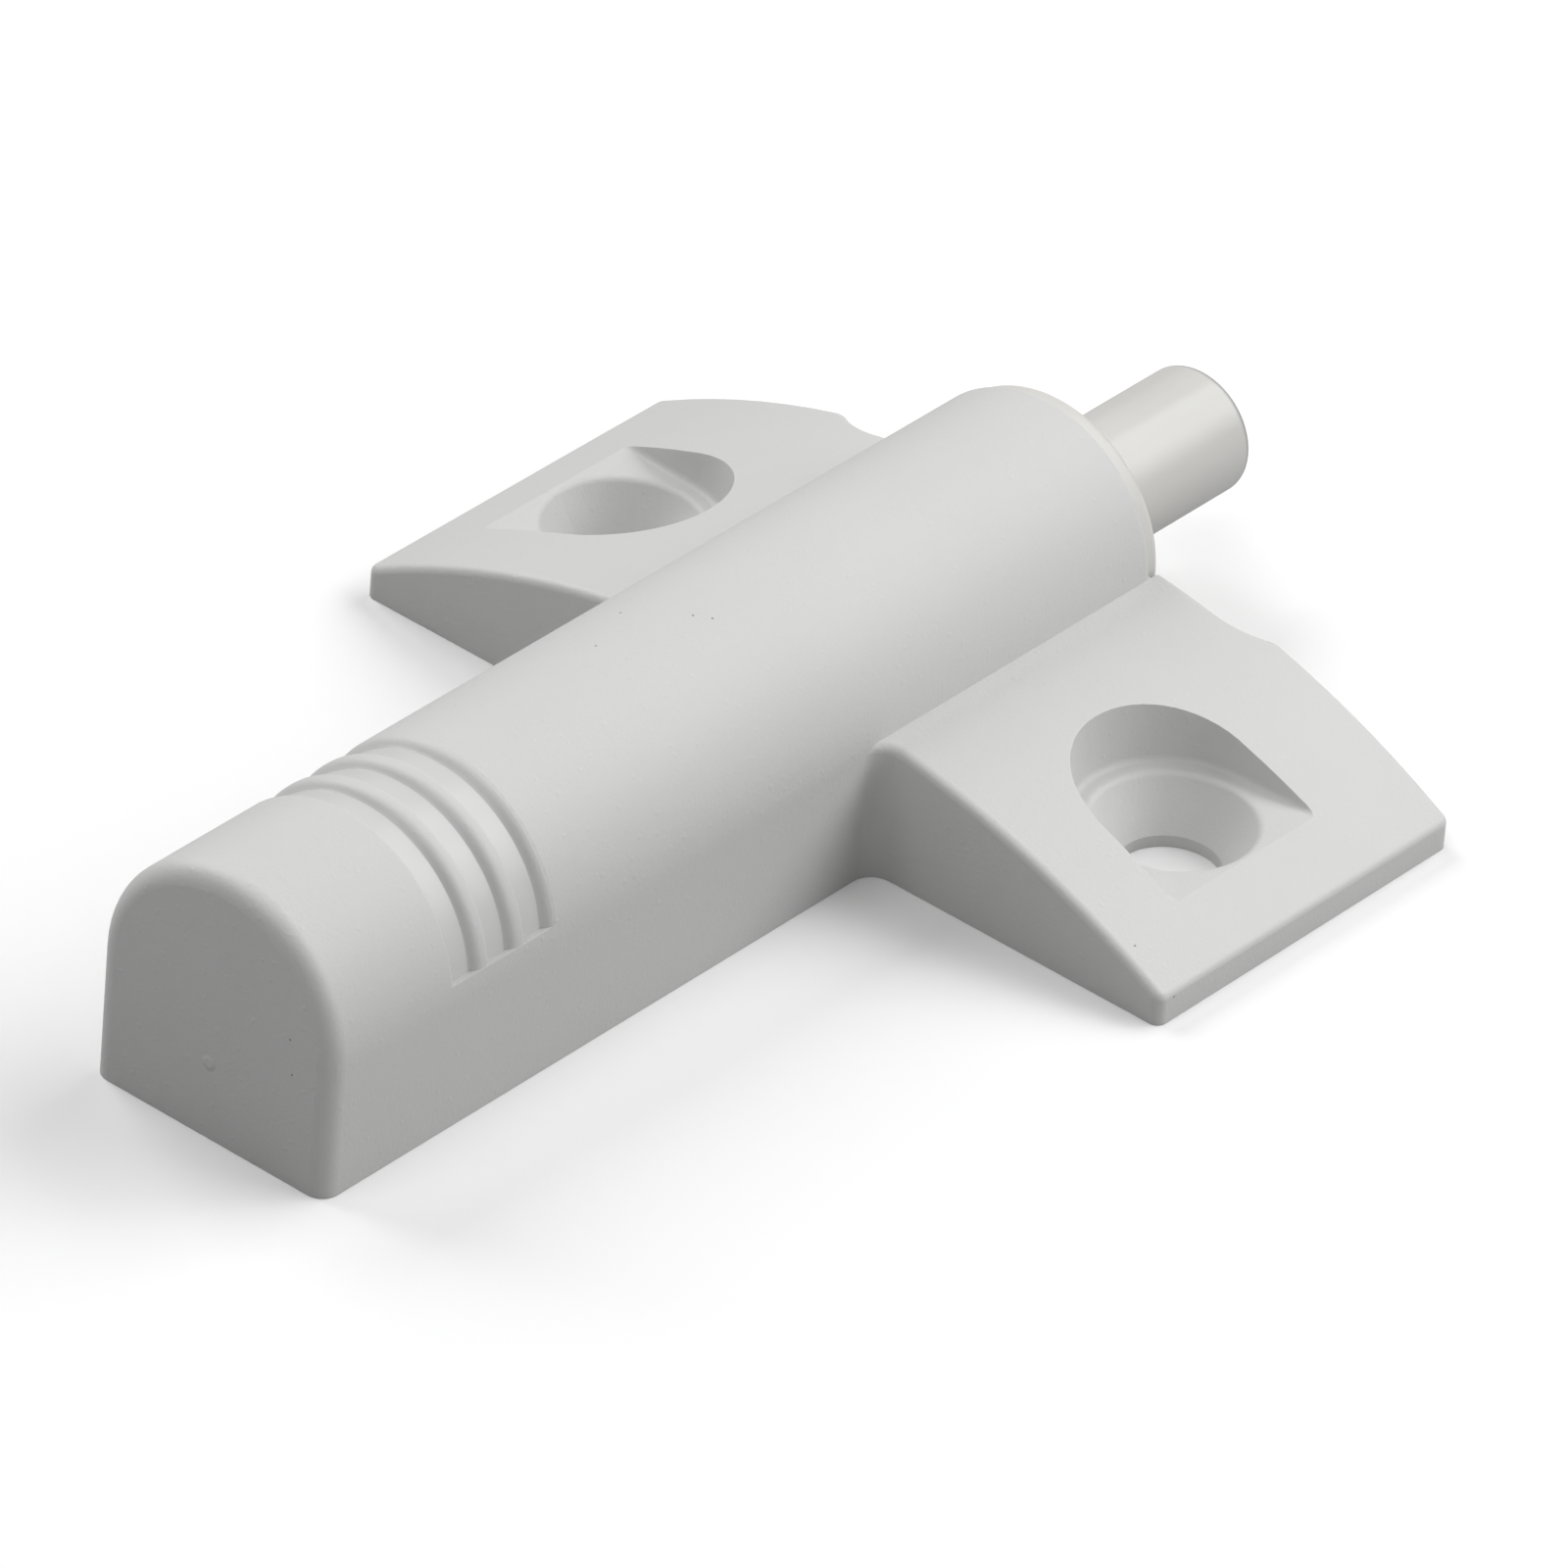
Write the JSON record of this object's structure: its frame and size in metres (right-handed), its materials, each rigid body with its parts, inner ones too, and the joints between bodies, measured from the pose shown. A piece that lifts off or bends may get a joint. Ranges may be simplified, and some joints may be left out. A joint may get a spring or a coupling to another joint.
{
  "type": "cabinet door damper",
  "caption": "Surface-mounted damper for a cabinet door: a cross-shaped moulded holder with a sprung oil damper in its barrel that slows the closing door.",
  "frame": {"origin": "midway between the two screw holes, on the mounting face that lies against the cabinet wall", "axes": "+X along the screw line, +Y along the plunger towards its tip and the door, +Z away from the cabinet wall"},
  "size_m": [0.046, 0.0656, 0.0132],
  "materials": {
    "holder_plastic": "fine spark texture, light grey nylon",
    "sleeve_plastic": "satin light grey acetal",
    "plunger_plastic": "smooth glossy acetal, slightly warm",
    "bearing_plastic": "natural acetal",
    "rod_steel": "ground and polished steel",
    "spring_steel": "drawn spring wire",
    "seal_rubber": "black nitrile rubber",
    "foam_rubber": "closed-cell foam rubber"
  },
  "bodies": {
    "base": {"holder": "holder_plastic", "guide_sleeve": "sleeve_plastic", "rear_plug": "sleeve_plastic", "piston_rod": "rod_steel", "piston": "bearing_plastic", "piston_seal": "seal_rubber", "piston_clip": "spring_steel", "return_spring": "spring_steel"},
    "plunger_unit": {"plunger": "plunger_plastic", "cylinder_cap": "bearing_plastic", "cap_seal": "seal_rubber", "rod_seal": "seal_rubber", "rod_guide": "bearing_plastic", "compensating_foam": "foam_rubber", "foam_washer": "bearing_plastic", "spring_washer": "rod_steel"}
  },
  "joints": [
    {"name": "plunger_slide", "type": "slide", "parent": "base", "child": "plunger_unit", "axis": [0, 1, 0], "range_m": [-0.01, 0], "stiffness_N_per_m": 200, "springref_m": 0.0099, "deforming": ["return_spring"]}
  ]
}
